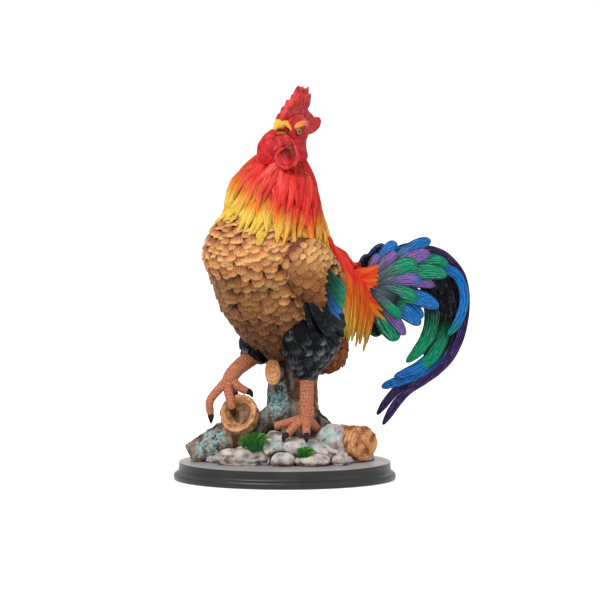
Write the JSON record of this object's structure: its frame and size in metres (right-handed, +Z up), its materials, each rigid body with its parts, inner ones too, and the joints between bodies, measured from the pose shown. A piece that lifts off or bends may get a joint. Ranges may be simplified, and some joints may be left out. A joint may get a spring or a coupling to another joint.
{
  "type": "rooster figurine",
  "caption": "Painted resin rooster with a curled tail, one foot raised on a hollow log, standing on a rocky stump over an oval black plinth.",
  "frame": {"origin": "middle of the felt face that the figure rests on", "axes": "+Z up, -Y towards the side that the rooster looks out from, +X towards the tail"},
  "size_m": [0.2957, 0.1939, 0.3951],
  "materials": {
    "felt": "short-napped felt",
    "black_gloss": "satin black paint",
    "steel": "bright zinc",
    "rock": "grey-brown paint with turquoise lichen",
    "stone": "warm grey paint, rubbed lighter on the edges",
    "bark": "grey-brown bark paint with turquoise lichen",
    "cut_wood": "tan sawn-wood paint",
    "grass": "bright green paint",
    "brown_feather": "dark brown paint dry-brushed to golden tan",
    "black_feather": "black paint, grey on the tips",
    "scaly_leg": "orange-brown paint with dark claws",
    "red_hackle": "red paint fading to yellow tips",
    "red_skin": "bright red paint",
    "eye_glass": "clear gloss over painted iris",
    "yellow_beak": "yellow paint, satin",
    "orange_saddle": "red and orange paint fading to yellow tips",
    "dark_feather": "near-black blue paint",
    "green_feather": "green paint, lighter on the barbs",
    "blue_feather": "blue paint, lighter on the barbs",
    "purple_feather": "purple paint, lighter on the barbs"
  },
  "bodies": {
    "root": {"felt_pad": "felt", "plinth": "black_gloss", "centre_rod": "steel", "rod_washer": "steel", "rod_nut": "steel", "plinth_screw_1": "steel", "plinth_screw_2": "steel", "plinth_screw_3": "steel", "plinth_screw_4": "steel", "pin_standing_leg": "steel", "pin_raised_leg": "steel", "pin_neck": "steel", "pin_tail_upper": "steel", "pin_tail_lower": "steel", "pin_wing_left": "steel", "pin_wing_right": "steel", "rockwork": "rock", "stone_long": "stone", "stone_middle": "stone", "stone_lichened": "stone", "stone_small": "stone", "rock_lichened": "stone", "tree_stump": "bark", "hollow_log": "bark", "cut_log": "cut_wood", "grass_large": "grass", "grass_small": "grass", "torso": "brown_feather", "wing_left": "brown_feather", "wing_right": "brown_feather", "thigh_left": "black_feather", "thigh_right": "black_feather", "leg_left": "scaly_leg", "leg_right": "scaly_leg", "neck_hackle": "red_hackle", "head": "red_skin", "comb": "red_skin", "wattle_left": "red_skin", "wattle_right": "red_skin", "eye_left": "eye_glass", "eye_right": "eye_glass", "beak_upper": "yellow_beak", "beak_lower": "yellow_beak", "saddle_hackle": "orange_saddle", "tail_core": "dark_feather", "sickle_black": "dark_feather", "sickle_green": "green_feather", "tail_fan_right": "green_feather", "sickle_blue_short": "blue_feather", "sickle_blue_green": "blue_feather", "sickle_blue_long": "blue_feather", "tail_fan_left": "blue_feather", "sickle_purple_outer": "purple_feather", "sickle_purple_inner": "purple_feather"}
  },
  "joints": []
}
